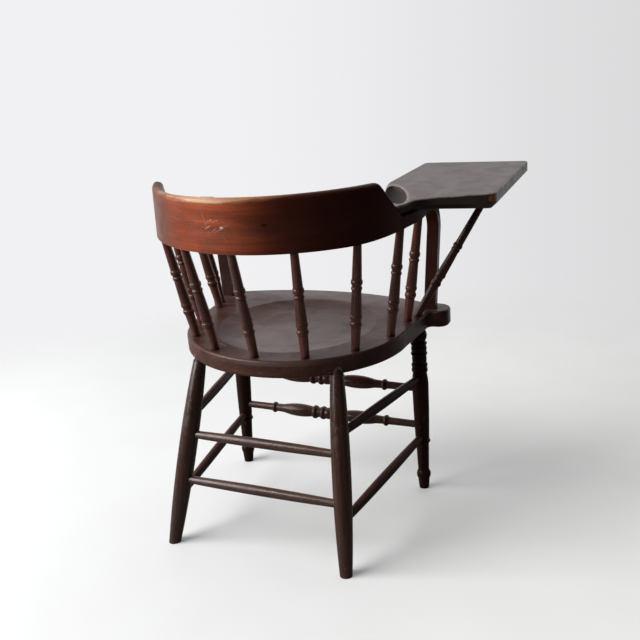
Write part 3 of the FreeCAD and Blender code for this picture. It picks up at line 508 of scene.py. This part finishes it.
flecks = ease(tree, noise(tree, stretched(tree, run, 0.4), scale=160.0), 0.60, 0.70)
pale = lay_over(tree, pale, bare_wood_fleck, flecks, strength=0.7)
colour = lay_over(tree, colour, bare_wood_edge, fringe, strength=0.45)
colour = blend(tree, bared, colour, pale)

scratch_breakup = broken_up(tree, run, 120.0, 3.0, amount=0.8)
scratch_field = spot(tree, run, scratches_middle, scratches_half, scratch_breakup)
slanted = turn_level(tree, run, scratches_slant)
scratch_lines = noise(tree, stretched(tree, slanted, 0.16), scale=330.0, detail=2.0)
scratches = calc(tree, "MULTIPLY", scratch_field, ease(tree, scratch_lines, 0.57, 0.65))
colour = lay_over(tree, colour, scratch_pale, scratches, strength=0.8)
leaning = turn_level(tree, run, long_scratch_lean, long_scratch_middle)
long_scratch = spot(tree, leaning, long_scratch_middle, long_scratch_half, scratch_breakup)
colour = lay_over(tree, colour, scratch_pale, long_scratch, strength=0.35)
chalk = spot(tree, run, chalk_middle, chalk_half, broken_up(tree, run, 420.0, 2.0, amount=0.9))
colour = lay_over(tree, colour, chalk_white, chalk, strength=0.85)
knot = spot(tree, run, knot_middle, knot_half, broken_up(tree, run, 150.0, 2.0, amount=0.6))
colour = lay_over(tree, colour, knot_dark, knot, strength=0.8)
tree.links.new(colour, surface.inputs["Base Color"])
right_arm = calc(tree, "MULTIPLY", ease(tree, rail["Turn"], *dull_right_arm),
                 ease(tree, rail["Height"], -0.02, 0.0))
dulled = calc(tree, "MAXIMUM", dirt, calc(tree, "MULTIPLY", right_arm, 1.8))
varnish(tree, surface, figure, scuff, dulled, smooth=0.32, dull=0.44, relief=0.3, gloss=0.2)
finish_node("back_rail", rail_wood)


# The writing tablet: one broad board screwed to the right arm, its neck sawn to the arm's curve.
# Its top is worn grey by paper and sleeves, its edges are rubbed, with a painted highlight along the
# rounded top edge, and its hollow is painted dark as shade.
tablet_stain = (0.098, 0.066, 0.062, 1)
tablet_stain_light = (0.140, 0.100, 0.096, 1)
tablet_rubbed_and_highlight = (0.36, 0.28, 0.25, 1)
tablet_side = (0.020, 0.010, 0.007, 1)
tablet_hollow_shade = (0.020, 0.012, 0.011, 1)
tablet_chipped = (0.42, 0.15, 0.06, 1)
tablet_ring_spacing = 0.024
tablet_edge_wear = 0.003
tablet_level = (0.69731, -0.03929)    # height of its flat top at y = 0, and its rise per unit of y
hollow_middle = (-0.1600, 0.0588, 0.0)
hollow_half = (0.098, 0.0205, 1.0)
hollow_turn = math.radians(112.5)
neck_reach = (-0.33, -0.28)           # x over which the board's sides turn into the neck's
chip_middle = (-0.3515, 0.036, 0.686)
chip_reach = (0.019, 0.014)
chip_raggedness = 0.012
tablet_low, tablet_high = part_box("writing_tablet")
tablet_middle = (tablet_low + tablet_high) / 2

tablet_wood, tree, surface = new_finish("writing tablet wood")
place = grain_place(tree, tablet_middle, Vector((0, 1, 0)))
colour, figure, scuff, dirt = stained(tree, place, tablet_stain, tablet_stain_light, tablet_rubbed_and_highlight,
                                      tablet_ring_spacing, tablet_edge_wear, wear_strength=0.85)
upright = split(tree, add(tree, "ShaderNodeNewGeometry").outputs["Normal"])["Z"]
off_top = calc(tree, "SUBTRACT", 1.0, ease(tree, upright, 0.55, 0.9))
colour = lay_over(tree, colour, tablet_side, off_top, strength=0.85)
where = object_place(tree)
here = split(tree, where)
flat_top = calc(tree, "ADD", tablet_level[0], calc(tree, "MULTIPLY", here["Y"], tablet_level[1]))
sunk = calc(tree, "SUBTRACT", flat_top, here["Z"])
from_hollow = turn_level(tree, shift(tree, "SUBTRACT", where, hollow_middle), -hollow_turn)
hollow_shares = shift(tree, "DIVIDE", from_hollow, hollow_half)
hollow_reach = measure(tree, "LENGTH", shift(tree, "MULTIPLY", hollow_shares, (1, 1, 0)))
hollow_rim = calc(tree, "MULTIPLY", ease(tree, hollow_reach, 1.35, 1.08),
                  ease(tree, sunk, 0.006, 0.004))
# Along the rounded top edge the pale line is partly rubbed varnish and partly a painted highlight.
rounding = calc(tree, "MULTIPLY", ease(tree, upright, 0.985, 0.90), ease(tree, upright, 0.15, 0.45))
edge_line = calc(tree, "MULTIPLY", rounding, ease(tree, sunk, 0.0050, 0.0035))
patchy = ease(tree, noise(tree, place, scale=45.0), 0.30, 0.60, 0.4, 1.0)
rubbed = calc(tree, "MULTIPLY",
              calc(tree, "MAXIMUM", edge_line, calc(tree, "MULTIPLY", hollow_rim, 0.8)), patchy)
colour = lay_over(tree, colour, tablet_rubbed_and_highlight, rubbed, strength=0.8)
# Painted shade: the hollow is painted near black for the shade inside it.
in_hollow = calc(tree, "MULTIPLY", ease(tree, hollow_reach, 1.08, 0.96),
                 ease(tree, sunk, 0.0003, 0.0016))
colour = lay_over(tree, colour, tablet_hollow_shade, in_hollow, strength=0.9)
from_chip = calc(tree, "ADD", measure(tree, "DISTANCE", where, chip_middle),
                 broken_up(tree, where, 160.0, 3.0, amount=chip_raggedness))
chipped = calc(tree, "MULTIPLY", ease(tree, from_chip, *chip_reach, 0.0, 0.85),
               ease(tree, upright, 0.6, 0.3))
colour = blend(tree, chipped, colour, tablet_chipped)
tree.links.new(colour, surface.inputs["Base Color"])
neck_side = calc(tree, "MULTIPLY", off_top, ease(tree, here["X"], *neck_reach))
dulled = calc(tree, "MULTIPLY", calc(tree, "MAXIMUM", in_hollow, neck_side), 2.2)
varnish(tree, surface, figure, scuff, calc(tree, "MAXIMUM", dirt, dulled),
        smooth=0.40, dull=0.46, relief=0.25, gloss=0.4)
finish_node("writing_tablet", tablet_wood)


# The tablet's screws: two countersunk steel wood screws, driven up through the right arm into the
# tablet and gone dull with age. Their heads show only from below.
screw_bright = (0.30, 0.28, 0.26, 1)
screw_tarnished = (0.12, 0.09, 0.07, 1)
screw_steel, tree, surface = new_finish("dull screw steel")
tarnish = noise(tree, object_place(tree), scale=700.0, detail=4.0)
tree.links.new(blend(tree, tarnish, screw_bright, screw_tarnished), surface.inputs["Base Color"])
tree.links.new(ease(tree, tarnish, 0.3, 0.7, 0.30, 0.55), surface.inputs["Roughness"])
surface.inputs["Metallic"].default_value = 1.0
finish_node("tablet_screws", screw_steel)


# The floor and the light: a pale painted floor that fades into a pale wall, lit by a large soft
# window at the left of the view, with a dim room behind the camera.
floor_reach = 3.2
floor_fade = (1.1, 1.9)               # distances over which the floor turns into the wall
floor_colour = (0.88, 0.88, 0.87, 1)
floor_colour_left = (0.74, 0.75, 0.75, 1)
floor_blotch = (0.62, 0.61, 0.59, 1)
floor_speck = (0.55, 0.53, 0.50, 1)
floor_in_varnish = (0.22, 0.20, 0.19, 1)
floor_glow = (1.0, 0.99, 0.98, 1)
floor_haze = 0.11
window_direction = Vector((0.79, 0.60, 0.60)).normalized()
window_distance = 4.5
window_size = 3.3
window_watts = 285.0
view_left = (0.914, 0.402, 0.0)       # level, to the left of the view
wall_left = (0.88, 0.88, 0.895, 1)
wall_right = (0.69, 0.69, 0.70, 1)
bright_wall_direction = (0.45, -0.85, 0.28)
bright_wall = (0.75, 0.75, 0.76, 1)
dim_room = (0.050, 0.048, 0.046, 1)

corners = ((-floor_reach, -floor_reach), (floor_reach, -floor_reach),
           (floor_reach, floor_reach), (-floor_reach, floor_reach))
floor_mesh = bpy.data.meshes.new("floor")
floor_mesh.from_pydata([(x, y, 0) for x, y in corners], [], [(0, 1, 2, 3)])
floor = bpy.data.objects.new("floor", floor_mesh)
bpy.context.scene.collection.objects.link(floor)
floor_paint, tree, surface = new_finish("floor paint")
here = object_place(tree)
blotches = noise(tree, here, scale=5.0, detail=5.0)
specks = ease(tree, noise(tree, here, scale=90.0, detail=2.0), 0.70, 0.76)
sideways = measure(tree, "DOT_PRODUCT", here, view_left)
paint = blend(tree, ease(tree, sideways, -0.6, 0.7), floor_colour, floor_colour_left)
paint = blend(tree, ease(tree, blotches, 0.35, 0.7, 0.0, 0.10), paint, floor_blotch)
paint = lay_over(tree, paint, floor_speck, specks, strength=0.08)
seen = add(tree, "ShaderNodeLightPath").outputs["Is Camera Ray"]
paint = blend(tree, seen, floor_in_varnish, paint)
tree.links.new(paint, surface.inputs["Base Color"])
surface.inputs["Roughness"].default_value = 0.6
surface.inputs["Specular IOR Level"].default_value = 0.3
surface.inputs["Emission Color"].default_value = floor_glow
tree.links.new(calc(tree, "MULTIPLY", seen, floor_haze), surface.inputs["Emission Strength"])
faded = ease(tree, measure(tree, "LENGTH", here), *floor_fade)
see_through = add(tree, "ShaderNodeBsdfTransparent").outputs[0]
mixed = add(tree, "ShaderNodeMixShader", {0: faded, 1: surface.outputs[0], 2: see_through}).outputs[0]
tree.links.new(mixed, tree.nodes["Material Output"].inputs["Surface"])
floor.data.materials.append(floor_paint)

window = bpy.data.objects.new("window light", bpy.data.lights.new("window light", "AREA"))
window.data.shape = "SQUARE"
window.data.size = window_size
window.data.energy = window_watts
window.location = window_direction * window_distance
window.rotation_euler = window_direction.to_track_quat("Z", "Y").to_euler()
bpy.context.scene.collection.objects.link(window)

room = bpy.data.worlds.new("room")
bpy.context.scene.world = room
room.use_nodes = True
tree = room.node_tree
sky = tree.nodes["Background"]
direction = add(tree, "ShaderNodeTexCoord").outputs["Generated"]
toward_left = measure(tree, "DOT_PRODUCT", direction, view_left)
toward_wall = measure(tree, "DOT_PRODUCT", direction, bright_wall_direction)
wall = blend(tree, ease(tree, toward_left, -0.45, 0.15), wall_right, wall_left)
glow = blend(tree, ease(tree, toward_wall, -0.10, 0.75), dim_room, bright_wall)
seen = add(tree, "ShaderNodeLightPath").outputs["Is Camera Ray"]
tree.links.new(blend(tree, seen, glow, wall), sky.inputs["Color"])
sky.inputs["Strength"].default_value = 1.0
